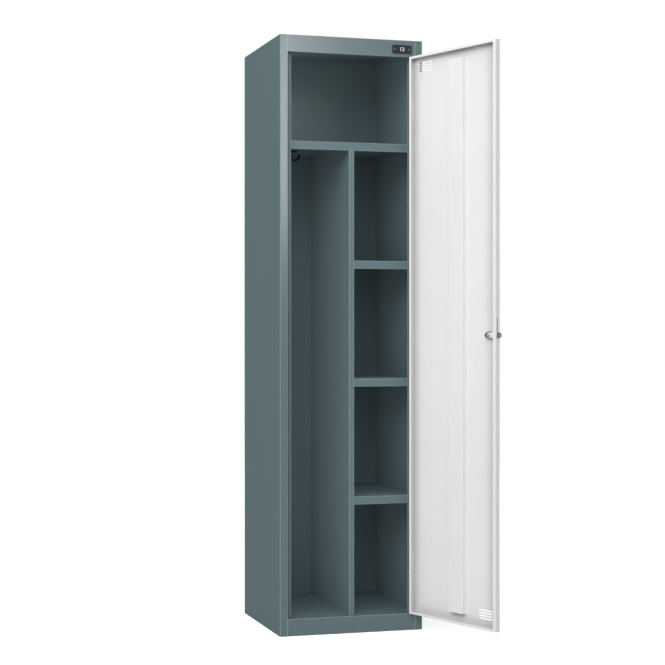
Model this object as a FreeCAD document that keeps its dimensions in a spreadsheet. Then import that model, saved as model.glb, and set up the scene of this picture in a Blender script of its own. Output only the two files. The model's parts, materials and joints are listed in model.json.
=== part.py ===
"""Steel broom cupboard: folded carcass, shelves, divider, coat hook and a hinged door with a cam lock.

Frame: millimetres, X to the right, Y to the back, Z up. The origin lies on the floor, in the
middle of the plinth's underside. The door stands open at its rest angle.
"""
import FreeCAD, Part
import os
import re
import Sketcher
from FreeCAD import Placement, Rotation, Vector

# Driving dimensions in millimetres.
SIZES = {
    # carcass
    "width": 450,
    "depth": 450,
    "height": 1800,
    "sheet": 1,
    "bend_radius": 1,
    "stile_width": 25,
    "stop_setback": 22,
    "stop_reach": 15,
    "fascia_height": 51.3,
    "plinth_height": 52,
    "rail_return": 20,
    "rear_flange": 20,
    "rear_lip": 25,
    "side_lip": 15,
    "foot_flange": 20,
    # shelves and divider
    "hat_level": 1486,
    "shelf_lip": 25,
    "shelf_return": 10,
    "divider_offset": -2.5,
    "divider_lip": 15.7,
    "divider_flange": 13,
    # coat hook
    "hook_from_side": 112,
    "hook_from_front": 290,
    "hook_plate_length": 44,
    "hook_plate_width": 20,
    "hook_plate_thick": 4,
    "hook_plate_corner": 5,
    "hook_drop": 15.7,
    "hook_offset": 12,
    "hook_radius": 15,
    "prong_radius": 3.3,
    "stem_radius": 3.9,
    "tip_radius": 4,
    "hook_rivet_spacing": 30,
    # rivets
    "rivet_radius": 1.9,
    "rivet_hole_gap": 0.1,
    "rivet_head_radius": 3.6,
    "rivet_head_height": 1.2,
    # number plate
    "plate_length": 62,
    "plate_height": 26,
    "plate_thick": 2.5,
    "plate_corner": 4,
    "plate_rim": 1.6,
    "plate_recess": 0.7,
    "plate_from_side": 66,
    "plate_drop": 2.5,
    "plate_rivet_spacing": 48,
    # door
    "door_thickness": 17.5,
    "door_sheet": 1,
    "hinge_gap": 1,
    "lock_gap": 1.6,
    "door_gap": 1.2,
    "lip_side": 10.5,
    "lip_end": 7.6,
    # door stiffener
    "stiffener_from_edge": 150,
    "stiffener_width": 61.5,
    "stiffener_depth": 15.5,
    "stiffener_flange": 12,
    "stiffener_inset": 32,
    # door vents
    "vent_length": 60,
    "vent_slot": 4,
    "vent_pitch": 8,
    "vent_from_side": 61,
    "vent_from_top": 34,
    "vent_from_bottom": 41,
    # hinges
    "pivot_inset": 0.6,
    "pivot_proud": 6.5,
    "knuckle_radius": 4.5,
    "pin_radius": 2.95,
    "pin_clearance": 0.05,
    "pin_head_radius": 4.2,
    "pin_head_height": 1.2,
    "hinge_length": 60,
    "knuckle_gap": 0.3,
    "knuckle_relief": 0.7,
    "leaf_thick": 1.5,
    "leaf_depth": 12,
    "leaf_clearance": 0.5,
    "hinge_inset": 160,
    # lock
    "lock_level": 901,
    "lock_inset": 42,
    "lock_head_radius": 11.5,
    "lock_head_height": 2.5,
    "barrel_radius": 9,
    "barrel_hole_gap": 0.1,
    "plug_radius": 6,
    "plug_clearance": 0.05,
    "plug_tang": 7,
    "key_slot_width": 1.6,
    "key_slot_length": 8,
    "key_slot_depth": 6,
    "nut_across": 22,
    "nut_thick": 3,
    "cam_level": 10,
    "cam_thick": 2,
    "cam_width": 16,
    "cam_reach": 59.5,
    "cam_clearance": 0.3,
    "washer_radius": 8.6,
    "washer_thick": 0.8,
    "screw_head_radius": 8,
    "screw_head_height": 4.2,
    "screw_radius": 2.2,
    "screw_length": 9,
    "screw_gap": 0.1,
    "screw_slot": 1.6,
    "slot_height_above": 51,
    "slot_height_below": 9.5,
    "slot_width": 3.2,
}
# Angles in degrees, and how many there are of what repeats.
ANGLES = {"door_opening": 109, "hook_sweep": 143}
COUNTS = {"vent_slots": 4, "knuckles": 5}
HALF_SHELVES = ("shelf_lower", "shelf_middle", "shelf_upper")

# Planes and levels worked out from the sizes. Carcass frame: x = 0 at mid-width, y = 0 half-way
# along the plinth's return.
FRONT = "(-rail_return / 2)"                     # front face of the carcass
BACK = f"({FRONT} + depth)"
SIDE = "(width / 2 - sheet)"                     # inner face of a side wall
INNER_BACK = f"({BACK} - 2 * sheet)"             # front face of the back panel
JAMB = "(width / 2 - stile_width)"               # half the width of the door opening
HEAD = "(height - fascia_height)"                # top of the door opening
SILL = "plinth_height"                           # floor of the cupboard
STOP = f"({FRONT} + stop_setback)"               # front face of the door stops
LIP = f"({STOP} + sheet)"                        # front face of the shelf lips, behind the stops
BEND = "(bend_radius + sheet)"                   # outer radius of a carcass bend
DIVIDER = "divider_offset"                       # left face of the divider
PITCH = f"((hat_level - plinth_height) / {len(HALF_SHELVES) + 1})"

# Door frame: x = y = 0 on the hinge axis, z as in the carcass. Every door piece is drawn with the
# door shut and turned by the placement of its body.
PIVOT_X = "(width / 2 - stile_width - pivot_inset)"
PIVOT_Y = f"({FRONT} - pivot_proud)"
DOOR_HINGE_SIDE = "(pivot_inset - hinge_gap)"
DOOR_WIDTH = "(width - 2 * stile_width - hinge_gap - lock_gap)"
DOOR_LOCK_SIDE = f"({DOOR_HINGE_SIDE} - {DOOR_WIDTH})"
DOOR_FACE = "pivot_proud"
DOOR_REAR = "(pivot_proud + door_thickness)"
SKIN = "(pivot_proud + door_sheet)"              # inner face of the door skin
DOOR_BOTTOM = "(plinth_height + door_gap)"
DOOR_TOP = f"({HEAD} - door_gap)"
DOOR_BEND = "(bend_radius + door_sheet)"
LOCK_X = f"({DOOR_LOCK_SIDE} + lock_inset)"
CAM_FRONT = "(pivot_proud + cam_level - cam_thick / 2)"
CAM_REAR = "(pivot_proud + cam_level + cam_thick / 2)"

doc = FreeCAD.newDocument("BroomCupboard")
sizes = doc.addObject("Spreadsheet::Sheet", "Sizes")
for row, (alias, value) in enumerate({**SIZES, **ANGLES, **COUNTS}.items(), start=1):
    sizes.set(f"A{row}", alias)
    sizes.set(f"B{row}", str(value))
    sizes.setAlias(f"B{row}", alias)
doc.recompute()

bodies = []


def tied(formula):
    """Rewrite a formula in size names so that it reads the sheet."""
    return re.sub(r"[a-z_]+", lambda word: f"Sizes.{word.group()}", str(formula))


def amount(formula):
    """Value of a formula in size names."""
    return float(sizes.evalExpression(str(formula)))


def span(hand, near, far):
    """Range between two distances from the middle plane, on the right (1) or the left (-1)."""
    return (near, far) if hand > 0 else (f"-({far})", f"-({near})")


def new_body(label, at=("0", "0", "0"), turn="0"):
    """Body of one sub-part, placed at a point and turned about the upright axis."""
    body = doc.addObject("PartDesign::Body", label)
    body.Label = label
    body.Placement = Placement(Vector(0, 0, 0), Rotation(Vector(0, 0, 1), 1))
    for axis, where in zip("xyz", at):
        body.setExpression(f"Placement.Base.{axis}", tied(where))
    body.setExpression("Placement.Rotation.Angle", tied(turn))
    bodies.append(body)
    return body


def door_body(label):
    """Body of a piece that rides on the open door."""
    return new_body(label, (PIVOT_X, PIVOT_Y, "0"), "door_opening")


def plane(body, role):
    return next(face for face in body.Origin.OriginFeatures if face.Role == role)


def new_sketch(body, name, role, offset=("0", "0", "0")):
    """Sketch on one of the body's own planes, moved by an offset in the sketch's axes."""
    sketch = body.newObject("Sketcher::SketchObject", f"{body.Name}_{name}")
    sketch.AttachmentSupport = [(plane(body, role), "")]
    sketch.MapMode = "FlatFace"
    for axis, distance in zip("xyz", offset):
        sketch.setExpression(f"AttachmentOffset.Base.{axis}", tied(distance))
    return sketch


def draw_polygon(sketch, corners):
    """Closed polygon whose every corner is held by two dimensions tied to the sheet."""
    points = [Vector(amount(x), amount(y), 0) for x, y in corners]
    count = len(points)
    for index in range(count):
        sketch.addGeometry(Part.LineSegment(points[index], points[(index + 1) % count]))
    for index in range(count):
        sketch.addConstraint(Sketcher.Constraint("Coincident", index, 2, (index + 1) % count, 1))
    for index, (x, y) in enumerate(corners):
        for kind, formula in (("DistanceX", x), ("DistanceY", y)):
            datum = sketch.addConstraint(Sketcher.Constraint(kind, -1, 1, index, 1, amount(formula)))
            sketch.setExpression(f"Constraints[{datum}]", tied(formula))


def pad(sketch, length, name="pad"):
    body = sketch.getParentGeoFeatureGroup()
    feature = body.newObject("PartDesign::Pad", f"{body.Name}_{name}")
    feature.Profile = sketch
    feature.setExpression("Length", tied(length))
    doc.recompute()
    return feature


def box(body, kind, x, y, z):
    """Additive or Subtractive box that fills three (from, to) ranges."""
    feature = body.newObject(f"PartDesign::{kind}Box", f"{body.Name}_{kind.lower()}_box")
    for size, axis, (low, high) in zip(("Length", "Width", "Height"), "xyz", (x, y, z)):
        feature.setExpression(size, tied(f"{high} - ({low})"))
        feature.setExpression(f"Placement.Base.{axis}", tied(low))
    doc.recompute()
    return feature


def cylinder(body, kind, radius, start, length, axis="z"):
    """Additive or Subtractive cylinder from a start point along z, or along y."""
    feature = body.newObject(f"PartDesign::{kind}Cylinder", f"{body.Name}_{kind.lower()}_cylinder")
    if axis == "y":
        feature.Placement = Placement(Vector(0, 0, 0), Rotation(Vector(1, 0, 0), -90))
    feature.setExpression("Radius", tied(radius))
    feature.setExpression("Height", tied(length))
    for name, where in zip("xyz", start):
        feature.setExpression(f"Placement.Base.{name}", tied(where))
    doc.recompute()
    return feature


def ball(body, radius, centre):
    feature = body.newObject("PartDesign::AdditiveSphere", f"{body.Name}_ball")
    feature.setExpression("Radius", tied(radius))
    for name, where in zip("xyz", centre):
        feature.setExpression(f"Placement.Base.{name}", tied(where))
    doc.recompute()
    return feature


def turned(body, name, profile, offset=("0", "0", "0"), role="XY_Plane"):
    """Full turn of a (radius, height) outline about the sketch's upright axis."""
    sketch = new_sketch(body, name, role, offset)
    draw_polygon(sketch, profile)
    feature = body.newObject("PartDesign::Revolution", f"{body.Name}_{name}_turned")
    feature.Profile = sketch
    feature.ReferenceAxis = (sketch, ["V_Axis"])
    feature.Angle = 360
    doc.recompute()
    return feature


def round_edges(body, radius, corners, axis):
    """Round the straight edges that run along an axis through the given points of the plane across it."""
    doc.recompute()
    base = body.Tip
    run = {"x": Vector(1, 0, 0), "y": Vector(0, 1, 0), "z": Vector(0, 0, 1)}[axis]
    across = [name for name in "xyz" if name != axis]
    spots = [(amount(first), amount(second)) for first, second in corners]
    picked = []
    for number, edge in enumerate(base.Shape.Edges, start=1):
        if not isinstance(edge.Curve, Part.Line) or abs(abs(edge.Curve.Direction.dot(run)) - 1) > 1e-6:
            continue
        middle = edge.CenterOfMass
        here = [getattr(middle, name) for name in across]
        if any(abs(here[0] - u) < 1e-4 and abs(here[1] - v) < 1e-4 for u, v in spots):
            picked.append(f"Edge{number}")
    feature = body.newObject("PartDesign::Fillet", f"{body.Name}_bends")
    feature.Base = (base, picked)
    feature.setExpression("Radius", tied(radius))
    doc.recompute()
    return feature


def folded(body, name, role, path, level, length, thick="sheet"):
    """Folded sheet: an outline of one face, with the metal to the right of the path and rounded bends."""
    points = [(amount(u), amount(v)) for u, v in path]
    steps = []
    for (u0, v0), (u1, v1) in zip(points, points[1:]):
        size = abs(u1 - u0) + abs(v1 - v0)
        steps.append(((u1 - u0) / size, (v1 - v0) / size))
    inner = []
    for index, (u, v) in enumerate(path):
        du = sum(step[1] for step in {*steps[max(index - 1, 0):index + 1]})
        dv = -sum(step[0] for step in {*steps[max(index - 1, 0):index + 1]})
        inner.append((f"{u} + {du:.0f} * {thick}", f"{v} + {dv:.0f} * {thick}"))
    sketch = new_sketch(body, name, role, ("0", "0", level))
    draw_polygon(sketch, path + inner[::-1])
    pad(sketch, length, name)
    outer_bends = []
    inner_bends = []
    for index in range(1, len(path) - 1):
        (a, b), (c, d) = steps[index - 1], steps[index]
        turns_right = a * d - b * c < 0
        outer_bends.append(path[index] if turns_right else inner[index])
        inner_bends.append(inner[index] if turns_right else path[index])
    axis = {"XY_Plane": "z", "YZ_Plane": "x"}[role]
    round_edges(body, f"bend_radius + {thick}", outer_bends, axis)
    round_edges(body, "bend_radius", inner_bends, axis)


# ---------------------------------------------------------------- carcass

def hinge_levels():
    """Heights of the three hinges, by name."""
    middle = f"({DOOR_BOTTOM} + {DOOR_TOP}) / 2"
    return {
        "top": f"({DOOR_TOP} - hinge_inset)",
        "middle": f"({middle})",
        "bottom": f"({DOOR_BOTTOM} + hinge_inset)",
    }


def side_panel(label, hand):
    """Side wall with its rear flange, front stile, return wall, door stop and foot flange."""
    body = new_body(label)
    across = [
        ("width / 2 - rear_flange", BACK),
        ("width / 2", BACK),
        ("width / 2", FRONT),
        (JAMB, FRONT),
        (JAMB, STOP),
        (f"{JAMB} - stop_reach", STOP),
    ]
    path = [(f"{hand} * ({x})", y) for x, y in across]
    folded(body, "section", "XY_Plane", path if hand > 0 else path[::-1], "0", "height")
    rebate = span(hand, f"{JAMB} - stop_reach", f"{JAMB} + {BEND}")
    for levels in ((HEAD, "height"), ("0", SILL)):
        box(body, "Subtractive", rebate, (FRONT, LIP), levels)
    foot = span(hand, f"{SIDE} - foot_flange", SIDE)
    box(body, "Additive", foot, (f"{FRONT} + {BEND}", INNER_BACK), ("0", "sheet"))
    return body


def end_cut(body, hand, low, high):
    """Clear the front corner of the top or base panel so that it fits behind the stile."""
    beside = span(hand, f"{JAMB} + {BEND}", SIDE)
    box(body, "Subtractive", beside, (FRONT, f"{FRONT} + {BEND}"), (low, high))
    box(body, "Subtractive", beside, (f"{FRONT} + {BEND}", f"{FRONT} + rail_return"), (low, f"{low} + sheet"))


def deck(label, front, fold, low, high, left, right):
    """Flat deck with a front lip and its return, a rear lip and two side lips."""
    body = new_body(label)
    path = [
        (f"{front} + {fold}", low),
        (front, low),
        (front, high),
        (INNER_BACK, high),
        (INNER_BACK, f"{high} - rear_lip"),
    ]
    folded(body, "section", "YZ_Plane", path, left, f"{right} - ({left})")
    along = (f"{front} + {BEND}", f"{INNER_BACK} - {BEND}")
    down = (f"{high} - side_lip", f"{high} - sheet")
    box(body, "Additive", (left, f"{left} + sheet"), along, down)
    box(body, "Additive", (f"{right} - sheet", right), along, down)
    return body


def divider():
    """Upright partition: front lip folded to the right, rear flange folded to the left."""
    body = new_body("divider")
    path = [
        (f"{DIVIDER} + divider_lip", STOP),
        (DIVIDER, STOP),
        (DIVIDER, f"{INNER_BACK} - sheet"),
        (f"{DIVIDER} - divider_flange", f"{INNER_BACK} - sheet"),
    ]
    folded(body, "section", "XY_Plane", path, SILL, f"hat_level - sheet - {SILL}")
    front = (DIVIDER, f"{DIVIDER} + divider_lip")
    box(body, "Subtractive", front, (STOP, f"{LIP} + shelf_return"), ("hat_level - shelf_lip", "hat_level - sheet"))
    rear = (f"{DIVIDER} - divider_flange", f"{DIVIDER} + sheet")
    behind = (f"{INNER_BACK} - {BEND}", INNER_BACK)
    box(body, "Subtractive", rear, behind, ("hat_level - rear_lip", "hat_level - sheet"))
    return body


for name, side in (("side_left", -1), ("side_right", 1)):
    side_panel(name, side)

back_panel = new_body("back_panel")
BACK_EDGE = f"({SIDE} - bend_radius)"
box(back_panel, "Additive", (f"-{BACK_EDGE}", BACK_EDGE), (INNER_BACK, f"{BACK} - sheet"), ("0", "height"))

top_panel = deck("top_panel", FRONT, "rail_return", HEAD, "height", f"-{SIDE}", SIDE)
base_panel = deck("base_panel", FRONT, "rail_return", "0", SILL, f"-{SIDE}", SIDE)
for side in (-1, 1):
    end_cut(top_panel, side, HEAD, "height")
    end_cut(base_panel, side, "0", SILL)

hat_shelf = deck("hat_shelf", LIP, "shelf_return", "(hat_level - shelf_lip)", "hat_level", f"-{SIDE}", SIDE)
divider()

SHELF_LEFT = f"({DIVIDER} + sheet)"
for number, name in enumerate(HALF_SHELVES, start=1):
    level = f"({SILL} + {number} * {PITCH})"
    half_shelf = deck(name, LIP, "shelf_return", f"({level} - shelf_lip)", level, SHELF_LEFT, SIDE)
    corner = (SHELF_LEFT, f"{SHELF_LEFT} + bend_radius")
    box(half_shelf, "Subtractive", corner, (LIP, f"{LIP} + {BEND}"), (f"{level} - shelf_lip", level))

# ---------------------------------------------------------------- lock and hinge cut-outs

CAM_SLOT = ("(cam_level - slot_width / 2)", "(cam_level + slot_width / 2)")
SLOT_LEVELS = ("lock_level - slot_height_below", "lock_level + slot_height_above")
stile_slot = tuple(f"{FRONT} + {edge}" for edge in CAM_SLOT)
box(doc.side_left, "Subtractive", span(-1, JAMB, f"{JAMB} + sheet"), stile_slot, SLOT_LEVELS)

LEAF_HALF = "(hinge_length / 2 + leaf_clearance)"
for level in hinge_levels().values():
    notch = (JAMB, f"{JAMB} + sheet + leaf_thick + leaf_clearance")
    levels = (f"{level} - {LEAF_HALF}", f"{level} + {LEAF_HALF}")
    box(doc.side_right, "Subtractive", notch, (FRONT, f"{FRONT} + {BEND}"), levels)

# ---------------------------------------------------------------- coat hook

HOOK_X = "(-width / 2 + hook_from_side)"
HOOK_AT = (HOOK_X, f"({FRONT} + hook_from_front)", "hat_level - sheet")
RIVET_HOLE = "rivet_radius + rivet_hole_gap"


def rivet_outline(low, high):
    """Half section of a rivet: two heads on a shank that spans from low to high."""
    return [
        ("0", f"{low} - rivet_head_height"),
        ("rivet_head_radius * 0.7", f"{low} - rivet_head_height"),
        ("rivet_head_radius", low),
        ("rivet_radius", low),
        ("rivet_radius", high),
        ("rivet_head_radius", high),
        ("rivet_head_radius * 0.7", f"{high} + rivet_head_height"),
        ("0", f"{high} + rivet_head_height"),
    ]


def coat_hook():
    """Moulded double hook: plate, stem and two curled prongs with ball tips."""
    body = new_body("coat_hook", HOOK_AT)
    half = ("hook_plate_length / 2", "hook_plate_width / 2")
    box(body, "Additive", (f"-{half[0]}", half[0]), (f"-{half[1]}", half[1]), ("-hook_plate_thick", "0"))
    corners = [(f"{a} * {half[0]}", f"{b} * {half[1]}") for a in (-1, 1) for b in (-1, 1)]
    round_edges(body, "hook_plate_corner", corners, "z")
    low = "(hook_drop + hook_radius * 0.6)"
    cylinder(body, "Additive", "stem_radius", ("0", "0", f"-{low}"), f"{low} - hook_plate_thick / 2")
    ball(body, "stem_radius", ("0", "0", f"-{low}"))
    section = new_sketch(body, "prong", "XY_Plane", ("hook_offset", "0", "-hook_drop"))
    section.addGeometry(Part.Circle(Vector(amount("hook_radius"), 0, 0), Vector(0, 0, 1), amount("prong_radius")))
    section.addConstraint(Sketcher.Constraint("PointOnObject", 0, 3, -1))
    for kind, size in (("DistanceX", "hook_radius"), ("Radius", "prong_radius")):
        places = (-1, 1, 0, 3) if kind == "DistanceX" else (0,)
        datum = section.addConstraint(Sketcher.Constraint(kind, *places, amount(size)))
        section.setExpression(f"Constraints[{datum}]", tied(size))
    prong = body.newObject("PartDesign::Revolution", "coat_hook_prong_turned")
    prong.Profile = section
    prong.ReferenceAxis = (section, ["V_Axis"])
    prong.setExpression("Angle", tied("hook_sweep"))
    tip = ball(body, "tip_radius", ("hook_offset + hook_radius", "0", "-hook_drop"))
    twin = body.newObject("PartDesign::Mirrored", "coat_hook_mirrored")
    twin.Originals = [prong, tip]
    twin.MirrorPlane = (plane(body, "YZ_Plane"), [""])
    body.Tip = twin
    doc.recompute()
    for hand in (-1, 1):
        spot = (f"{hand} * hook_rivet_spacing / 2", "0", "-hook_plate_thick")
        cylinder(body, "Subtractive", RIVET_HOLE, spot, "hook_plate_thick")
    return body


def hook_rivets():
    """Two rivets through the hook's plate and the top shelf."""
    body = new_body("hook_rivets", HOOK_AT)
    for index, hand in enumerate((-1, 1)):
        spot = (f"{hand} * hook_rivet_spacing / 2", "0", "0")
        outline = rivet_outline("-hook_plate_thick", "sheet")
        turned(body, f"rivet_{index}", outline, spot, "XZ_Plane")
    return body


for side in (-1, 1):
    hole = (f"{HOOK_AT[0]} + {side} * hook_rivet_spacing / 2", HOOK_AT[1], HOOK_AT[2])
    cylinder(doc.hat_shelf, "Subtractive", RIVET_HOLE, hole, "sheet")
coat_hook()
hook_rivets()

# ---------------------------------------------------------------- number plate

PLATE_X = "(width / 2 - plate_from_side)"
PLATE_Z = "(height - fascia_height / 2 - plate_drop)"


def number_plate():
    """Plain plate with rounded corners and a sunk field, riveted to the fascia."""
    body = new_body("number_plate", (PLATE_X, FRONT, PLATE_Z))
    half = ("plate_length / 2", "plate_height / 2")
    box(body, "Additive", (f"-{half[0]}", half[0]), ("-plate_thick", "0"), (f"-{half[1]}", half[1]))
    corners = [(f"{a} * {half[0]}", f"{b} * {half[1]}") for a in (-1, 1) for b in (-1, 1)]
    round_edges(body, "plate_corner", corners, "y")
    field = tuple(f"({size} - plate_rim)" for size in half)
    sunk = box(body, "Subtractive", (f"-{field[0]}", field[0]), ("-plate_thick", "-plate_thick + plate_recess"),
               (f"-{field[1]}", field[1]))
    for hand in (-1, 1):
        hole = (f"{hand} * plate_rivet_spacing / 2", "-plate_thick", "0")
        cylinder(body, "Subtractive", RIVET_HOLE, hole, "plate_thick", "y")
    return sunk


def plate_rivets():
    """Two rivets through the number plate and the fascia."""
    body = new_body("plate_rivets", (PLATE_X, FRONT, PLATE_Z))
    for index, hand in enumerate((-1, 1)):
        outline = rivet_outline("-plate_thick + plate_recess", "sheet")
        turned(body, f"rivet_{index}", outline, (f"{hand} * plate_rivet_spacing / 2", "0", "0"))
    return body


for side in (-1, 1):
    hole = (f"{PLATE_X} + {side} * plate_rivet_spacing / 2", FRONT, PLATE_Z)
    cylinder(top_panel, "Subtractive", RIVET_HOLE, hole, "sheet", "y")
number_plate()
plate_rivets()

# ---------------------------------------------------------------- door


def vent(body, name, x, z):
    """Column of round-ended slots through the door skin, centred on a point."""
    sketch = new_sketch(body, name, "XZ_Plane", (x, f"{z} - (vent_slots - 1) * vent_pitch / 2", f"-({DOOR_FACE})"))
    reach = amount("(vent_length - vent_slot) / 2")
    radius = amount("vent_slot / 2")
    quarter = 1.5707963267948966
    upright = Vector(0, 0, 1)
    top = sketch.addGeometry(Part.LineSegment(Vector(-reach, radius, 0), Vector(reach, radius, 0)))
    right = sketch.addGeometry(Part.ArcOfCircle(Part.Circle(Vector(reach, 0, 0), upright, radius), -quarter, quarter))
    low = sketch.addGeometry(Part.LineSegment(Vector(reach, -radius, 0), Vector(-reach, -radius, 0)))
    left = sketch.addGeometry(
        Part.ArcOfCircle(Part.Circle(Vector(-reach, 0, 0), upright, radius), quarter, 3 * quarter))
    for first, second in (((top, 2), (right, 2)), ((right, 1), (low, 1)), ((low, 2), (left, 2)), ((left, 1), (top, 1))):
        sketch.addConstraint(Sketcher.Constraint("Tangent", *first, *second))
    sketch.addConstraint(Sketcher.Constraint("Equal", right, left))
    for arc in (right, left):
        sketch.addConstraint(Sketcher.Constraint("PointOnObject", arc, 3, -1))
    for places, formula in (((right, 3), "(vent_length - vent_slot) / 2"), ((left, 3), "-(vent_length - vent_slot) / 2")):
        datum = sketch.addConstraint(Sketcher.Constraint("DistanceX", -1, 1, *places, amount(formula)))
        sketch.setExpression(f"Constraints[{datum}]", tied(formula))
    datum = sketch.addConstraint(Sketcher.Constraint("Radius", right, radius))
    sketch.setExpression(f"Constraints[{datum}]", tied("vent_slot / 2"))
    slot = body.newObject("PartDesign::Pocket", f"{name}_slot")
    slot.Profile = sketch
    slot.setExpression("Length", tied("door_sheet"))
    rows = body.newObject("PartDesign::LinearPattern", f"{name}_rows")
    rows.Originals = [slot]
    rows.Direction = (sketch, ["V_Axis"])
    rows.setExpression("Length", tied("(vent_slots - 1) * vent_pitch"))
    rows.setExpression("Occurrences", tied("vent_slots"))
    body.Tip = rows
    doc.recompute()


def door_panel():
    """Folded tray: skin, four walls, return lips, two vents, lock hole, cam slot and hinge notches."""
    body = door_body("door_panel")
    box(body, "Additive", (DOOR_LOCK_SIDE, DOOR_HINGE_SIDE), (DOOR_FACE, DOOR_REAR), (DOOR_BOTTOM, DOOR_TOP))
    sides = (DOOR_LOCK_SIDE, DOOR_HINGE_SIDE)
    ends = (DOOR_BOTTOM, DOOR_TOP)
    faces = (DOOR_FACE, DOOR_REAR)
    round_edges(body, DOOR_BEND, [(x, y) for x in sides for y in faces], "z")
    round_edges(body, DOOR_BEND, [(y, z) for y in faces for z in ends], "x")
    hollow = [(f"{low} + door_sheet", f"{high} - door_sheet") for low, high in (sides, faces, ends)]
    box(body, "Subtractive", *hollow)
    mouth = (f"{DOOR_LOCK_SIDE} + lip_side", f"{DOOR_HINGE_SIDE} - lip_side")
    rise = (f"{DOOR_BOTTOM} + lip_end", f"{DOOR_TOP} - lip_end")
    box(body, "Subtractive", mouth, (f"{DOOR_REAR} - door_sheet", DOOR_REAR), rise)
    vent(body, "vent_top", f"{DOOR_HINGE_SIDE} - vent_from_side", f"{DOOR_TOP} - vent_from_top")
    vent(body, "vent_bottom", f"{DOOR_LOCK_SIDE} + vent_from_side", f"{DOOR_BOTTOM} + vent_from_bottom")
    hole = (LOCK_X, DOOR_FACE, "lock_level")
    cylinder(body, "Subtractive", "barrel_radius + barrel_hole_gap", hole, "door_sheet", "y")
    slot = tuple(f"{DOOR_FACE} + {edge}" for edge in CAM_SLOT)
    box(body, "Subtractive", (DOOR_LOCK_SIDE, f"{DOOR_LOCK_SIDE} + door_sheet"), slot, SLOT_LEVELS)
    for level in hinge_levels().values():
        notch = (f"{DOOR_HINGE_SIDE} - door_sheet - leaf_thick - leaf_clearance", DOOR_HINGE_SIDE)
        levels = (f"{level} - {LEAF_HALF}", f"{level} + {LEAF_HALF}")
        box(body, "Subtractive", notch, (DOOR_FACE, f"{DOOR_FACE} + {DOOR_BEND}"), levels)
    return body


def door_stiffener():
    """Hat section welded upright to the inside of the skin."""
    body = door_body("door_stiffener")
    foot = f"{SKIN} + door_sheet"
    crown = f"{SKIN} + stiffener_depth"
    near = f"{DOOR_LOCK_SIDE} + stiffener_from_edge"
    far = f"{near} + stiffener_width"
    path = [
        (f"{near} - stiffener_flange", foot),
        (near, foot),
        (near, crown),
        (far, crown),
        (far, foot),
        (f"{far} + stiffener_flange", foot),
    ]
    bottom = f"({DOOR_BOTTOM} + stiffener_inset)"
    folded(body, "section", "XY_Plane", path, bottom, f"{DOOR_TOP} - stiffener_inset - {bottom}", "door_sheet")
    return body


door_panel()
door_stiffener()

# ---------------------------------------------------------------- hinges


def hinge_leaf(body, reach, own):
    """Leaf with rolled knuckles. reach is its plate's x range; own says which knuckles it carries."""
    radius = "knuckle_radius"
    half = "(hinge_length / 2)"
    cylinder(body, "Additive", radius, ("0", "0", f"-{half}"), "hinge_length")
    box(body, "Additive", reach, ("0", f"{DOOR_FACE} + leaf_depth"), (f"-{half}", half))
    cylinder(body, "Subtractive", "pin_radius + pin_clearance", ("0", "0", f"-{half}"), "hinge_length")
    clear = f"({radius} + knuckle_relief)"
    for knuckle in range(int(amount("knuckles"))):
        if knuckle % 2 == own:
            continue
        low = f"(-{half} + {knuckle} * hinge_length / knuckles - knuckle_gap / 2)"
        high = f"(-{half} + {knuckle + 1} * hinge_length / knuckles + knuckle_gap / 2)"
        box(body, "Subtractive", (f"-{clear}", clear), (f"-{clear}", clear), (low, high))
    return body


def hinge_pin(label, level):
    """Pin with a formed head at each end."""
    body = new_body(label, (PIVOT_X, PIVOT_Y, level))
    half = "(hinge_length / 2)"
    outline = [
        ("0", f"-{half} - pin_head_height"),
        ("pin_head_radius", f"-{half} - pin_head_height"),
        ("pin_head_radius", f"-{half}"),
        ("pin_radius", f"-{half}"),
        ("pin_radius", half),
        ("pin_head_radius", half),
        ("pin_head_radius", f"{half} + pin_head_height"),
        ("0", f"{half} + pin_head_height"),
    ]
    turned(body, "outline", outline, role="XZ_Plane")
    return body


FRAME_LEAF = ("(pivot_inset + sheet)", "(pivot_inset + sheet + leaf_thick)")
DOOR_LEAF = (f"({DOOR_HINGE_SIDE} - door_sheet - leaf_thick)", f"({DOOR_HINGE_SIDE} - door_sheet)")
for name, level in hinge_levels().items():
    hinge_leaf(new_body(f"frame_leaf_{name}", (PIVOT_X, PIVOT_Y, level)), FRAME_LEAF, 0)
    hinge_leaf(new_body(f"door_leaf_{name}", (PIVOT_X, PIVOT_Y, level), "door_opening"), DOOR_LEAF, 1)
    hinge_pin(f"hinge_pin_{name}", level)

# ---------------------------------------------------------------- cam lock

LOCK_AXIS = (LOCK_X, "0", "lock_level")
LOCK_FRONT = f"({DOOR_FACE} - lock_head_height)"
TANG = ("-plug_tang / 2", "plug_tang / 2")


def beside_lock(x, z):
    """Ranges across the lock's axis, moved to where the lock is."""
    return [tuple(f"{LOCK_X} + {edge}" for edge in x), tuple(f"lock_level + {edge}" for edge in z)]


def lock_body():
    """Barrel with a front flange and a plain bore."""
    body = door_body("lock_body")
    bore = "plug_radius + plug_clearance"
    rear = f"{CAM_FRONT} - cam_clearance"
    outline = [
        (bore, LOCK_FRONT),
        ("lock_head_radius - lock_head_height / 3", LOCK_FRONT),
        ("lock_head_radius", f"{LOCK_FRONT} + lock_head_height / 3"),
        ("lock_head_radius", DOOR_FACE),
        ("barrel_radius", DOOR_FACE),
        ("barrel_radius", rear),
        (bore, rear),
    ]
    turned(body, "outline", outline, LOCK_AXIS)
    return body


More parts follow.
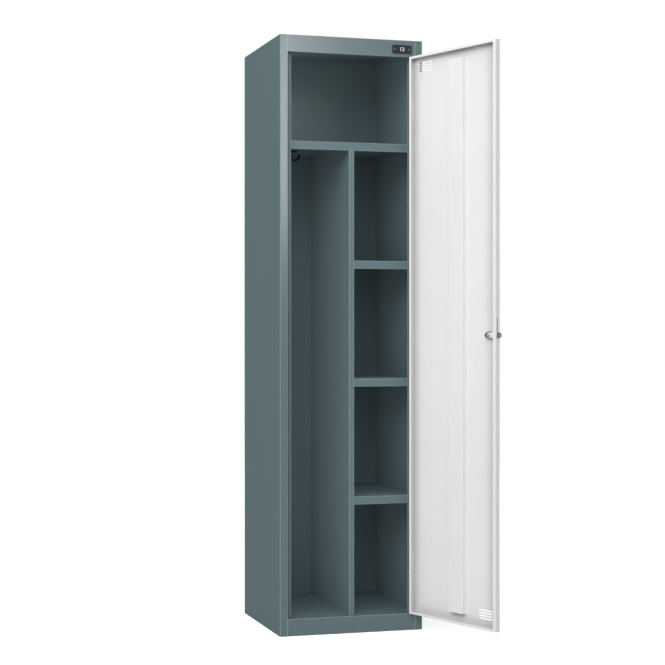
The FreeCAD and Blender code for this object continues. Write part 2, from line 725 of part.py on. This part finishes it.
def lock_plug():
    """Turning plug with a key slot in front, a square tang behind and a tapped hole in the tang."""
    body = door_body("lock_plug")
    outline = [("0", LOCK_FRONT), ("plug_radius", LOCK_FRONT), ("plug_radius", CAM_FRONT), ("0", CAM_FRONT)]
    turned(body, "outline", outline, LOCK_AXIS)
    x, z = beside_lock(TANG, TANG)
    box(body, "Additive", x, (f"{CAM_FRONT} - plug_tang / 2", CAM_REAR), z)
    key = beside_lock(("-key_slot_width / 2", "key_slot_width / 2"), ("-key_slot_length / 2", "key_slot_length / 2"))
    box(body, "Subtractive", key[0], (LOCK_FRONT, f"{LOCK_FRONT} + key_slot_depth"), key[1])
    hole = (LOCK_X, f"{CAM_REAR} + washer_thick - screw_length - screw_gap", "lock_level")
    cylinder(body, "Subtractive", "screw_radius + screw_gap", hole, "screw_length", "y")
    return body


def lock_nut():
    """Hexagon nut that clamps the barrel behind the skin."""
    body = door_body("lock_nut")
    nut = body.newObject("PartDesign::AdditivePrism", "lock_nut_hexagon")
    nut.Polygon = 6
    nut.Placement = Placement(Vector(0, 0, 0), Rotation(Vector(1, 0, 0), -90))
    nut.setExpression("Circumradius", tied("nut_across / sqrt(3)").replace("Sizes.sqrt", "sqrt"))
    nut.setExpression("Height", tied("nut_thick"))
    for axis, where in zip("xyz", (LOCK_X, SKIN, "lock_level")):
        nut.setExpression(f"Placement.Base.{axis}", tied(where))
    hole = (LOCK_X, SKIN, "lock_level")
    cylinder(body, "Subtractive", "barrel_radius + barrel_hole_gap", hole, "nut_thick", "y")
    return body


def lock_cam():
    """Flat cam with round ends and a square hole; at rest it points out past the door's edge."""
    body = door_body("lock_cam")
    tip = f"({LOCK_X} - cam_reach + cam_width / 2)"
    levels = ("lock_level - cam_width / 2", "lock_level + cam_width / 2")
    box(body, "Additive", (tip, LOCK_X), (CAM_FRONT, CAM_REAR), levels)
    for centre in (tip, LOCK_X):
        cylinder(body, "Additive", "cam_width / 2", (centre, CAM_FRONT, "lock_level"), "cam_thick", "y")
    x, z = beside_lock(TANG, TANG)
    box(body, "Subtractive", x, (CAM_FRONT, CAM_REAR), z)
    return body


def cam_washer():
    body = door_body("cam_washer")
    hole = "screw_radius + screw_gap"
    high = f"{CAM_REAR} + washer_thick"
    outline = [(hole, CAM_REAR), ("washer_radius", CAM_REAR), ("washer_radius", high), (hole, high)]
    turned(body, "outline", outline, LOCK_AXIS)
    return body


def cam_screw():
    """Broad-headed slotted screw that holds the cam on the plug."""
    body = door_body("cam_screw")
    seat = f"({CAM_REAR} + washer_thick)"
    crown = f"({seat} + screw_head_height)"
    outline = [
        ("0", f"{seat} - screw_length"),
        ("screw_radius", f"{seat} - screw_length"),
        ("screw_radius", seat),
        ("screw_head_radius", seat),
        ("screw_head_radius", f"{crown} - screw_head_height / 4"),
        ("screw_head_radius - screw_head_height / 4", crown),
        ("0", crown),
    ]
    turned(body, "outline", outline, LOCK_AXIS)
    x, z = beside_lock(("-screw_slot / 2", "screw_slot / 2"), ("-screw_head_radius", "screw_head_radius"))
    box(body, "Subtractive", x, (f"{crown} - screw_head_height / 2", crown), z)
    return body


for make in (lock_body, lock_plug, lock_nut, lock_cam, cam_washer, cam_screw):
    make()

# ---------------------------------------------------------------- check and export

doc.recompute()
faults = [item.Name for item in doc.Objects if {"Invalid", "Error"} & set(item.State)]
for body in bodies:
    if body.Shape.isNull() or not body.Shape.isValid() or not body.Shape.Solids:
        faults.append(body.Name)
if faults:
    raise RuntimeError(f"these did not build: {faults}")

os.makedirs("parts", exist_ok=True)
for body in bodies:
    body.Shape.exportStep(f"parts/{body.Label}.step")
    print(f"{body.Label}: {len(body.Shape.Solids)} solid(s), {body.Shape.Volume:.1f} mm3")
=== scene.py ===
"""Broom cupboard: studio, camera, finishes and the fine parts that sit on the CAD frame."""

import json
import math

import bpy
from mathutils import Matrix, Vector


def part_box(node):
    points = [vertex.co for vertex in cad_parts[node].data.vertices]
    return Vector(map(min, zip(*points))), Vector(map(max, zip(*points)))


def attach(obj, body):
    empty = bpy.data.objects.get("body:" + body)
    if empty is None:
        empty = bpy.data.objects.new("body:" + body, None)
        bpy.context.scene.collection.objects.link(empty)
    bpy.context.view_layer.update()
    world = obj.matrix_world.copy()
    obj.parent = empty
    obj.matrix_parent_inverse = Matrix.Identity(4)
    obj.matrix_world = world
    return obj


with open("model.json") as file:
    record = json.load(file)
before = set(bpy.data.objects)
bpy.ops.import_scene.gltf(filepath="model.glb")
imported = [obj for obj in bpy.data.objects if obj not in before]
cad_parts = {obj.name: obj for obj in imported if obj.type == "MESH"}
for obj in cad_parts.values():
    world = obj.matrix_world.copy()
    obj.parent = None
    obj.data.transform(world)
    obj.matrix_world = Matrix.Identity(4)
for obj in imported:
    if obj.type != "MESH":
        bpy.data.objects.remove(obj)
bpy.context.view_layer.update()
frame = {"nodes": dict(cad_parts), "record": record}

# Camera: level, at half the cupboard's height and to the left of its front.
CAMERA_AT = (-1.50302, -4.83099, 0.90885)
CAMERA_TURN = math.radians(-16.646)
CAMERA_LENS = 90.45
SENSOR = 36.0

# Studio. Radiances are in the units in which white paper in full light is 1.
SKY_ON_OBJECT = 0.53
SKY_SEEN = 1.0
FLOOR_ALBEDO = 0.55
FLOOR_GLOW = 0.53
FLOOR_SHADE = 0.90
FLOOR_SIZE = 60.0

# Soft boxes: place, aim, width and height, radiance. The strip adds gloss only.
STRIP_BOX = ((0.96, -4.9, 2.16), (0.0, 0.0, 1.5), (0.53, 1.32), 27.0)
WIDE_BOX = ((-3.1, -5.4, 4.4), (0.0, 0.0, 1.0), (5.0, 3.6), 4.6)
LEFT_BOX = ((-5.0, -1.4, 4.2), (0.0, 0.0, 1.0), (4.0, 3.6), 2.4)
BACK_BOX = ((3.5, 4.5, 3.0), (0.0, 0.0, 0.9), (5.0, 3.0), 1.5)

# Weak lamps in the bays: how far behind the carcass's origin they start, how far they stand off a
# wall, and the radiances of the one in a bay's opening and the one on its left wall.
FILL_NEAR = 0.018
FILL_GAP = 0.003
FILL_TOP = (1.00, 1.50)
FILL_TALL = (0.30, 0.61)
FILL_SHELVES = (0.25, 0.54)
FILL_COLOUR = (1.0, 0.92, 0.90)
SHEET = 0.001

# Noise mostly lies in this range, and is spread from it. Each noise below is the size of its lumps
# in metres, its detail, and where it varies a value, that value's lowest and highest. In the two
# where a roughness is given elsewhere, these are how far the noise goes below and above it.
NOISE_RANGE = (0.3, 0.7)
COAT_CLOUD = (0.35, 3.0, 0.985, 1.015)
COAT_GRAIN = (0.0007, 1.0, 0.975, 1.025)
COAT_RIM = (0.02, 2.0, 0.85, 1.0)
COAT_ROUGHNESS = (0.12, 4.0, 0.5, 0.7)
COAT_PEEL = (0.0016, 2.0)
METAL_BLOOM = (0.006, 3.0, 0.88, 1.06)
METAL_SCRATCHES = (0.0004, 3.0)
PLASTIC_MOTTLE = (0.01, 3.0, 0.85, 1.2)
PLASTIC_ROUGHNESS = (0.015, 2.0, 0.10, 0.08)
PLASTIC_SPARKS = (0.0005, 2.0)
ENAMEL_CLOUD = (0.008, 3.0, 0.9, 1.1)
ENAMEL_ROUGHNESS = (0.004, 2.0, 0.05, 0.07)
ENAMEL_RIPPLE = (0.0012, 2.0)

# How far a metal's roughness goes below and above its own value in the scratches.
SCRATCH_LESS, SCRATCH_MORE = 0.08, 0.10

# Depths of bump, in metres.
PEEL_DEPTH = 0.00003
SCRATCH_DEPTH = 0.00001
SPARK_DEPTH = 0.00003
RIPPLE_DEPTH = 0.00001

# Powder coat: gloss of the top coat, and how rough it is.
COAT_SHINE_ROUGHNESS = 0.20
CARCASS_GLOSS = 0.08
CARCASS_SHOW_GLOSS = 0.45
DOOR_GLOSS = 0.15

# Painted shade in folds and corners: how far round a point they are looked for, how open it is
# there in the deepest and in the shallowest of them, and how dark the paint is painted in the
# deepest.
CARCASS_FOLD_SHADE = (0.04, 0.30, 0.90, 0.92)
STIFFENER_FOLD_SHADE = (0.02, 0.30, 0.90, 0.94)
DOOR_FOLD_SHADE = (0.09, 0.80, 0.98, 0.78)

# Lines along the bends, partly thinner coat and partly a painted highlight: the radius that is
# looked round, and the cosines of turn between which the line fades in. A bend is raised where it
# is open within RAISED_REACH, between two opennesses.
EDGE_COSINES = (0.995, 0.80)
CARCASS_BENDS = (0.003, (0.999, 0.93))
DOOR_BENDS = (0.0012, EDGE_COSINES)
RAISED_REACH = 0.005
RAISED_OPEN = (0.75, 0.95)

# The carcass's front faces. The outer ones lie in front of SHOW_DEPTH and the lips in front of
# LIP_DEPTH; the tones are painted light, how much lighter the paint is made on each. Lines on bends
# fade with depth.
SHOW_DEPTH = (-0.0085, -0.0065)
LIP_DEPTH = (0.0145, 0.0165)
SHOW_LIGHT = 0.10
LIP_LIGHT = 0.28
INSIDE_DEPTH = (0.03, 0.09)
INSIDE_WEAR_AND_HIGHLIGHT = 0.15

# The door as it hangs at rest: its hinge line, the direction out of its inner face, and the one
# from the hinges to its free edge.
JOINTS = {joint["name"]: joint for joint in frame["record"]["behaviour"]["joints"]}
HINGE = Vector(JOINTS["door_hinge"]["pos_m"])
INWARD = Vector(JOINTS["lock_turn"]["axis"])
ALONG = Vector((-INWARD.y, INWARD.x, 0.0))

# Painted shadow on the door's skin behind the free edge's lip: how far from the hinges it starts
# and ends, the tone at the end, and how far inward the skin ends. The rib's flanks are painted
# paler, as painted light.
FREE_SIDE_SHADOW = (0.330, 0.398)
FREE_SHADOW_TONE = 0.66
SKIN_DEPTH = (0.010, 0.018)
FLANK_LIGHT = 1.09

# One coordinate of a face's direction, at the two ends of what counts: X where a face is the door's
# skin or the rib's crown and where it no longer is, Y where a face is a wall of the door's tray and
# where it no longer is, and Y where a carcass face begins to be a front face and where it is one.
SKIN_TURN = (-0.9, -0.6)
CROWN_TURN = (-0.9, -0.5)
WALL_TURN = (-0.9, -0.5)
FRONT_TURN = (-0.3, -0.8)

# Bevels of rubbed edges, and how much brighter they are.
METAL_EDGE, METAL_RUBBED = 0.0006, 1.15
# On the plastic, the brighter edges are partly wear and partly a painted sheen.
PLASTIC_EDGE, PLASTIC_WEAR_AND_SHEEN = 0.001, 1.6
ENAMEL_EDGE, ENAMEL_RUBBED, ENAMEL_LIFT = 0.0008, 1.5, 0.03

# Base colours, and the colour of the powder coat's lines on bends, partly thinner coat and partly a
# painted highlight.
CARCASS_COLOUR, CARCASS_THIN_AND_HIGHLIGHT = (0.103, 0.151, 0.164, 1.0), (0.27, 0.35, 0.365, 1.0)
DOOR_COLOUR, DOOR_THIN_AND_HIGHLIGHT = (0.765, 0.765, 0.765, 1.0), (0.80, 0.80, 0.80, 1.0)
ZINC_COLOUR = (0.66, 0.67, 0.68, 1.0)
LOCK_COLOUR = (0.44, 0.44, 0.45, 1.0)
CAM_COLOUR = (0.85, 0.86, 0.87, 1.0)
BURNISHED_COLOUR = (0.26, 0.26, 0.265, 1.0)
BLACKENED_COLOUR = (0.09, 0.09, 0.09, 1.0)
HOOK_COLOUR = (0.006, 0.008, 0.009, 1.0)
PLATE_COLOUR = (0.016, 0.018, 0.019, 1.0)
DIGIT_COLOUR = (0.80, 0.80, 0.78, 1.0)

# The cam's outer end, painted darker as painted shade: its tone, and the depths between which the
# darkening comes in.
CAM_SHADED_END = (0.26, -0.3990, -0.3955)

# Number plate: plain raised digits that stand in its sunk field.
DIGITS = "12"
DIGIT_SIZE = 0.0165
DIGIT_RAISE = 0.00018
DIGIT_BEVEL = 0.00008
DIGIT_SINK = 0.0001
PLATE_RECESS = 0.0007


class Finish:
    """A node material round one Principled shader, with short calls for the nodes that feed it."""

    def __init__(self, name, **sockets):
        self.material = bpy.data.materials.new(name)
        self.material.use_nodes = True
        self.nodes = self.material.node_tree.nodes
        self.links = self.material.node_tree.links
        self.shader = self.nodes["Principled BSDF"]
        for socket, value in sockets.items():
            self.shader.inputs[socket.replace("_", " ")].default_value = value
        around = self.nodes.new("ShaderNodeTexCoord").outputs
        self.place, self.facing = around["Object"], around["Normal"]

    def node(self, kind, inputs, **settings):
        """Adds a node. Another node's output is linked to it, and any other value is typed in."""
        made = self.nodes.new(kind)
        for name, value in settings.items():
            setattr(made, name, value)
        for socket, value in inputs.items():
            if isinstance(value, bpy.types.NodeSocket):
                self.links.new(value, made.inputs[socket])
            else:
                made.inputs[socket].default_value = value
        return made

    def feed(self, socket, value):
        self.links.new(value, self.shader.inputs[socket])

    def noise(self, size, detail, stretch=(1.0, 1.0, 1.0)):
        """Noise with lumps about `size` metres across, drawn out along an axis by `stretch`."""
        scale = tuple(1.0 / value for value in stretch)
        place = self.node("ShaderNodeMapping", {"Vector": self.place, "Scale": scale})
        made = self.node("ShaderNodeTexNoise", {
            "Vector": place.outputs["Vector"], "Scale": 1.0 / size, "Detail": detail})
        return made.outputs["Fac"]

    def spread(self, value, low, high, source=(0.0, 1.0)):
        """Maps a value from the `source` range to low..high."""
        made = self.node("ShaderNodeMapRange", {
            "Value": value, "From Min": source[0], "From Max": source[1],
            "To Min": low, "To Max": high})
        return made.outputs["Result"]

    def vary(self, size, detail, low, high):
        """A value that wanders between low and high with noise."""
        return self.spread(self.noise(size, detail), low, high, source=NOISE_RANGE)

    def uneven(self, value, size, detail, less, more):
        """A value that wanders with noise, from `less` below it to `more` above it."""
        return self.vary(size, detail, value - less, value + more)

    def coordinate(self, vector, axis):
        """One coordinate of a vector."""
        return self.node("ShaderNodeSeparateXYZ", {"Vector": vector}).outputs[axis]

    def dot(self, first, second):
        """How far one vector reaches along another."""
        made = self.node("ShaderNodeVectorMath", {0: first, 1: second}, operation="DOT_PRODUCT")
        return made.outputs["Value"]

    def both(self, first, second):
        """One factor times another."""
        made = self.node("ShaderNodeMath", {0: first, 1: second}, operation="MULTIPLY")
        return made.outputs[0]

    def edge(self, radius, cosines=EDGE_COSINES):
        """0 on the flat and up to 1 where the surface turns a corner within `radius`."""
        bent = self.node("ShaderNodeBevel", {"Radius": radius}, samples=4).outputs["Normal"]
        flat = self.node("ShaderNodeNewGeometry", {}).outputs["Normal"]
        return self.spread(self.dot(bent, flat), 0.0, 1.0, source=cosines)

    def open_air(self, reach):
        """1 in the open and towards 0 in folds and corners less than `reach` wide."""
        made = self.node(
            "ShaderNodeAmbientOcclusion", {"Distance": reach}, samples=16, only_local=True)
        return made.outputs["AO"]

    def tint(self, amount, first, second):
        """Colour between `first` and `second`, each a colour or an output."""
        made = self.node("ShaderNodeMix", {0: amount, 6: first, 7: second}, data_type="RGBA")
        return made.outputs[2]

    def shade(self, colour, factor):
        """Colour times a grey factor."""
        made = self.node("ShaderNodeVectorMath", {0: colour, 3: factor}, operation="SCALE")
        return made.outputs["Vector"]

    def bump(self, height, depth):
        """Raises the surface by up to `depth` metres where the height is 1."""
        made = self.node("ShaderNodeBump", {"Height": height, "Strength": 1.0, "Distance": depth})
        self.feed("Normal", made.outputs["Normal"])


def rubbed(colour, factor, lift=0.0):
    """A brighter form of a colour."""
    return tuple(min(1.0, value * factor + lift) for value in colour[:3]) + (1.0,)


def free_side_shadow(finish):
    """Painted shadow: 1 on the door, and down to the shadow's tone on the inner face of its skin at
    the free edge.
    """
    along = finish.dot(finish.place, ALONG)
    inward = finish.dot(finish.place, INWARD)
    turn = finish.coordinate(finish.facing, "X")
    span = tuple(HINGE.dot(ALONG) + value for value in FREE_SIDE_SHADOW)
    depths = tuple(HINGE.dot(INWARD) + value for value in SKIN_DEPTH)
    skin = finish.both(finish.spread(turn, 1.0, 0.0, source=SKIN_TURN),
                       finish.spread(inward, 1.0, 0.0, source=depths))
    shadow_mask = finish.both(skin, finish.spread(along, 0.0, 1.0, source=span))
    return finish.spread(shadow_mask, 1.0, FREE_SHADOW_TONE)


def powder_coat(name, colour, thin_and_highlight, gloss, folds, bends,
                show_gloss=None, flank_light=None, tray=False):
    """Baked powder paint: orange peel, faint clouding, a lighter line on bends that is partly
    thinner coat and partly a painted highlight, and painted shade that darkens the folds and
    corners.

    With `show_gloss`, it is a carcass, whose front faces carry a heavier and glossier coat and are
    made lighter as painted light. With a flank factor, it is a rib, whose flanks are painted that
    much paler as painted light. With `tray`, it is the door, with a painted shadow behind its free
    edge's lip."""
    finish = Finish(name, Specular_IOR_Level=0.0, Coat_Weight=gloss,
                    Coat_Roughness=COAT_SHINE_ROUGHNESS)
    cloud = finish.vary(*COAT_CLOUD)
    grain = finish.vary(*COAT_GRAIN)
    rim = finish.vary(*COAT_RIM)
    # Lighter line on bends: partly thinner coat and partly a painted highlight.
    raised = finish.spread(finish.open_air(RAISED_REACH), 0.0, 1.0, source=RAISED_OPEN)
    wear_and_highlight = finish.both(finish.both(finish.edge(*bends), raised), rim)
    if show_gloss is not None:
        depth = finish.coordinate(finish.place, "Y")
        wear_and_highlight = finish.both(wear_and_highlight, finish.spread(depth, 1.0, INSIDE_WEAR_AND_HIGHLIGHT, source=INSIDE_DEPTH))
    paint = finish.shade(finish.tint(wear_and_highlight, colour, thin_and_highlight), cloud)
    # Painted shade: the paint is darker where the surface is folded in and closed round.
    reach, deep, shallow, dull = folds
    # On the door: a painted shadow on the skin behind the free edge's lip, and less painted shade
    # on the tray's walls.
    if tray:
        dull = finish.spread(finish.coordinate(finish.facing, "Y"), 1.0, dull, source=WALL_TURN)
        paint = finish.shade(paint, free_side_shadow(finish))
    fold_shade = finish.spread(finish.open_air(reach), dull, 1.0, source=(deep, shallow))
    paint = finish.shade(paint, fold_shade)
    # Painted light: the rib's flanks are made paler.
    if flank_light is not None:
        turn = finish.coordinate(finish.facing, "X")
        paint = finish.shade(paint, finish.spread(turn, 1.0, flank_light, source=CROWN_TURN))
    if show_gloss is not None:
        turn = finish.coordinate(finish.facing, "Y")
        turned = finish.spread(turn, 0.0, 1.0, source=FRONT_TURN)
        shown = finish.both(turned, finish.spread(depth, 1.0, 0.0, source=SHOW_DEPTH))
        finish.feed("Coat Weight", finish.spread(shown, gloss, show_gloss))
        # Painted light: front faces, and the lips more, are made lighter.
        front_light = finish.spread(depth, 1.0 + SHOW_LIGHT, 1.0 + LIP_LIGHT,
                               source=(SHOW_DEPTH[1], 0.0))
        front = finish.both(turned, finish.spread(depth, 1.0, 0.0, source=LIP_DEPTH))
        paint = finish.tint(front, paint, finish.shade(paint, front_light))
    finish.feed("Base Color", finish.shade(paint, grain))
    finish.feed("Roughness", finish.vary(*COAT_ROUGHNESS))
    finish.bump(finish.noise(*COAT_PEEL), PEEL_DEPTH)
    return finish.material


def brushed_metal(name, colour, roughness, stretch, shaded_end=None):
    """Plated metal with a slightly duller bloom and fine scratches drawn out along z by `stretch`.

    The outer-end setting darkens the outer end as painted shade: a factor for the tone, and the
    depths between which the darkening comes in."""
    finish = Finish(name, Metallic=1.0)
    bloom = finish.vary(*METAL_BLOOM)
    edges = finish.tint(finish.edge(METAL_EDGE), colour, rubbed(colour, METAL_RUBBED))
    metal = finish.shade(edges, bloom)
    # Painted shade: the cam's outer end is darker.
    if shaded_end is not None:
        depth = finish.coordinate(finish.place, "Y")
        metal = finish.shade(metal, finish.spread(depth, shaded_end[0], 1.0, source=shaded_end[1:]))
    finish.feed("Base Color", metal)
    scratches = finish.noise(*METAL_SCRATCHES, stretch=(1.0, 1.0, stretch))
    finish.feed("Roughness", finish.spread(scratches, roughness - SCRATCH_LESS,
                                           roughness + SCRATCH_MORE, source=NOISE_RANGE))
    finish.bump(scratches, SCRATCH_DEPTH)
    return finish.material


def moulded_plastic(name, colour, roughness, shine):
    """Spark-textured injection moulding, with paler edges, partly wear where hands have polished it
    and partly a painted sheen.
    """
    finish = Finish(name, Specular_IOR_Level=shine)
    mottle = finish.vary(*PLASTIC_MOTTLE)
    edges = finish.tint(finish.edge(PLASTIC_EDGE), colour, rubbed(colour, PLASTIC_WEAR_AND_SHEEN))
    finish.feed("Base Color", finish.shade(edges, mottle))
    finish.feed("Roughness", finish.uneven(roughness, *PLASTIC_ROUGHNESS))
    finish.bump(finish.noise(*PLASTIC_SPARKS), SPARK_DEPTH)
    return finish.material


def enamel(name, colour, roughness, shine=0.5):
    """Stoved enamel: smooth, with a faint ripple and paler rubbed edges."""
    finish = Finish(name, Specular_IOR_Level=shine)
    cloud = finish.vary(*ENAMEL_CLOUD)
    pale = rubbed(colour, ENAMEL_RUBBED, ENAMEL_LIFT)
    edges = finish.tint(finish.edge(ENAMEL_EDGE), colour, pale)
    finish.feed("Base Color", finish.shade(edges, cloud))
    finish.feed("Roughness", finish.uneven(roughness, *ENAMEL_ROUGHNESS))
    finish.bump(finish.noise(*ENAMEL_RIPPLE), RIPPLE_DEPTH)
    return finish.material


def dress(slot_finishes, node_finishes):
    """Gives each CAD node the finish of its own material slot, or one of its own."""
    for name, node in frame["nodes"].items():
        for holder in node.material_slots:
            slot = holder.material.name.split(".")[0]
            holder.material = node_finishes.get(name, slot_finishes[slot])


def light(name, at, aim, size, radiance):
    """A rectangular soft box, width by height, that shines from `at` towards `aim`."""
    lamp = bpy.data.lights.new(name, "AREA")
    lamp.shape = "RECTANGLE"
    lamp.size, lamp.size_y = size
    lamp.energy = radiance * math.pi * size[0] * size[1]
    holder = bpy.data.objects.new(name, lamp)
    holder.location = at
    holder.rotation_euler = (Vector(aim) - Vector(at)).to_track_quat("-Z", "Y").to_euler()
    bpy.context.scene.collection.objects.link(holder)
    return holder


def fill(name, near, far, low, high, radiance):
    """A weak soft box inside a bay, which lifts the shade on the walls that face it.

    It stands on the line from `far` to `near`, seen from above, and shines to the line's left."""
    near, far = Vector(near + (0.0,)), Vector(far + (0.0,))
    along = near - far
    middle = (near + far) / 2 + Vector((0.0, 0.0, (low + high) / 2))
    aim = middle + Vector((-along.y, along.x, 0.0))
    holder = light(name, middle, aim, (along.length, high - low), radiance)
    holder.data.color = FILL_COLOUR
    holder.visible_camera = False
    holder.visible_glossy = False


def fill_bay(name, wall, lip, jamb, low, high, radiances):
    """Two fills for a bay: across its opening, from lip to jamb, and along its left wall."""
    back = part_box("back_panel")[0][1]
    place = wall + FILL_GAP
    fill(name + "_front", (jamb, FILL_NEAR), (lip, FILL_NEAR), low, high, radiances[0])
    fill(name + "_side", (place, FILL_NEAR), (place, back - FILL_GAP), low, high, radiances[1])


def fill_bays():
    """Fills for all of the carcass's compartments."""
    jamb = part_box("side_right")[0][0]
    left_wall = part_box("side_left")[0][0] + SHEET
    middle_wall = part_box("shelf_middle")[0][0]
    lip_left, lip_right = (corner[0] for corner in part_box("divider"))
    hat_low, hat_high = (corner[2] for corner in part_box("hat_shelf"))
    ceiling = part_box("top_panel")[0][2]
    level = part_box("base_panel")[1][2]
    fill_bay("fill_top", left_wall, -jamb, jamb, hat_high, ceiling, FILL_TOP)
    fill_bay("fill_tall", left_wall, -jamb, lip_left, level, hat_low, FILL_TALL)
    for shelf in ("shelf_lower", "shelf_middle", "shelf_upper"):
        low, high = (corner[2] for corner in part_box(shelf))
        fill_bay("fill_" + shelf, middle_wall, lip_right, jamb, level, low, FILL_SHELVES)
        level = high
    fill_bay("fill_under_hat", middle_wall, lip_right, jamb, level, hat_low, FILL_SHELVES)


def seen_directly(nodes, links):
    """1 for rays that show the background itself: camera, mirror-like and see-through ones."""
    path = nodes.new("ShaderNodeLightPath").outputs
    total = path["Is Camera Ray"]
    for other in ("Is Glossy Ray", "Is Transmission Ray"):
        either = nodes.new("ShaderNodeMath")
        either.operation = "MAXIMUM"
        links.new(total, either.inputs[0])
        links.new(path[other], either.inputs[1])
        total = either.outputs[0]
    return total


def set_sky():
    """A white background that lights the object at a plain level."""
    world = bpy.data.worlds.new("studio_sky")
    world.use_nodes = True
    nodes, links = world.node_tree.nodes, world.node_tree.links
    level = nodes.new("ShaderNodeMapRange")
    level.inputs["To Min"].default_value = SKY_ON_OBJECT
    level.inputs["To Max"].default_value = SKY_SEEN
    links.new(seen_directly(nodes, links), level.inputs["Value"])
    background = nodes["Background"]
    background.inputs["Color"].default_value = (1.0, 1.0, 1.0, 1.0)
    links.new(level.outputs["Result"], background.inputs["Strength"])
    bpy.context.scene.world = world


def grey_shader(nodes, kind, level):
    """A shader of one grey."""
    made = nodes.new(kind)
    made.inputs["Color"].default_value = (level,) * 3 + (1.0,)
    return made


def set_floor():
    """White studio floor. It looks as white as the sky and still takes the object's soft shadow."""
    half = FLOOR_SIZE / 2
    corners = [(-half, -half, 0), (half, -half, 0), (half, half, 0), (-half, half, 0)]
    mesh = bpy.data.meshes.new("studio_floor")
    mesh.from_pydata(corners, [], [(0, 1, 2, 3)])
    floor = bpy.data.objects.new("studio_floor", mesh)
    bpy.context.scene.collection.objects.link(floor)
    material = bpy.data.materials.new("studio_floor")
    material.use_nodes = True
    nodes, links = material.node_tree.nodes, material.node_tree.links
    nodes.clear()
    plain = grey_shader(nodes, "ShaderNodeBsdfDiffuse", FLOOR_ALBEDO)
    shaded = grey_shader(nodes, "ShaderNodeBsdfDiffuse", FLOOR_SHADE)
    glow = grey_shader(nodes, "ShaderNodeEmission", FLOOR_GLOW)
    seen = nodes.new("ShaderNodeAddShader")
    links.new(shaded.outputs[0], seen.inputs[0])
    links.new(glow.outputs[0], seen.inputs[1])
    choice = nodes.new("ShaderNodeMixShader")
    links.new(seen_directly(nodes, links), choice.inputs["Fac"])
    links.new(plain.outputs[0], choice.inputs[1])
    links.new(seen.outputs[0], choice.inputs[2])
    links.new(choice.outputs[0], nodes.new("ShaderNodeOutputMaterial").inputs["Surface"])
    mesh.materials.append(material)


def set_camera():
    data = bpy.data.cameras.new("camera")
    data.lens = CAMERA_LENS
    data.sensor_width = SENSOR
    camera = bpy.data.objects.new("camera", data)
    camera.location = CAMERA_AT
    camera.rotation_euler = (math.pi / 2, 0.0, CAMERA_TURN)
    bpy.context.scene.collection.objects.link(camera)
    bpy.context.scene.camera = camera


def plate_digits(material):
    """Plain raised digits in the number plate's sunk field."""
    low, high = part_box("number_plate")
    text = bpy.data.curves.new("plate_digits", "FONT")
    text.body = DIGITS
    text.size = DIGIT_SIZE
    text.align_x = "CENTER"
    text.align_y = "CENTER"
    text.extrude = DIGIT_RAISE
    text.bevel_depth = DIGIT_BEVEL
    text.bevel_resolution = 2
    text.materials.append(material)
    digits = bpy.data.objects.new("plate_digits", text)
    field = low[1] + PLATE_RECESS
    digits.location = ((low[0] + high[0]) / 2, field - DIGIT_SINK, (low[2] + high[2]) / 2)
    digits.rotation_euler = (math.pi / 2, 0.0, 0.0)
    bpy.context.scene.collection.objects.link(digits)
    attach(digits, "cabinet")


slot_finishes = {
    "carcass_paint": powder_coat("carcass_paint", CARCASS_COLOUR, CARCASS_THIN_AND_HIGHLIGHT, CARCASS_GLOSS,
                                 CARCASS_FOLD_SHADE, CARCASS_BENDS, show_gloss=CARCASS_SHOW_GLOSS),
    "door_paint": powder_coat("door_paint", DOOR_COLOUR, DOOR_THIN_AND_HIGHLIGHT, DOOR_GLOSS,
                              DOOR_FOLD_SHADE, DOOR_BENDS, tray=True),
    "zinc": brushed_metal("zinc", ZINC_COLOUR, roughness=0.30, stretch=8.0),
    "lock_metal": brushed_metal("lock_metal", LOCK_COLOUR, roughness=0.27, stretch=6.0),
    "hook_moulding": moulded_plastic("hook_moulding", HOOK_COLOUR, roughness=0.50, shine=0.2),
    "plate_finish": enamel("plate_finish", PLATE_COLOUR, roughness=0.45, shine=0.15),
}
stiffener_paint = powder_coat("stiffener_paint", DOOR_COLOUR, DOOR_THIN_AND_HIGHLIGHT, DOOR_GLOSS,
                              STIFFENER_FOLD_SHADE, DOOR_BENDS, flank_light=FLANK_LIGHT)
cam_steel = brushed_metal("cam_steel", CAM_COLOUR, roughness=0.26, stretch=6.0,
                          shaded_end=CAM_SHADED_END)
burnished = brushed_metal("burnished_steel", BURNISHED_COLOUR, roughness=0.26, stretch=6.0)
blackened = brushed_metal("blackened_rivet", BLACKENED_COLOUR, roughness=0.40, stretch=4.0)
digit_enamel = enamel("digit_enamel", DIGIT_COLOUR, roughness=0.35)
node_finishes = {
    "door_stiffener": stiffener_paint,
    "lock_cam": cam_steel,
    "lock_nut": burnished,
    "cam_washer": burnished,
    "cam_screw": burnished,
    "plate_rivets": blackened,
    "hook_rivets": blackened,
}

set_camera()
set_sky()
set_floor()
light("strip_box", *STRIP_BOX).visible_diffuse = False
light("wide_box", *WIDE_BOX)
light("left_box", *LEFT_BOX)
light("back_box", *BACK_BOX)
fill_bays()
dress(slot_finishes, node_finishes)
plate_digits(digit_enamel)

bpy.context.scene.view_settings.view_transform = "Standard"
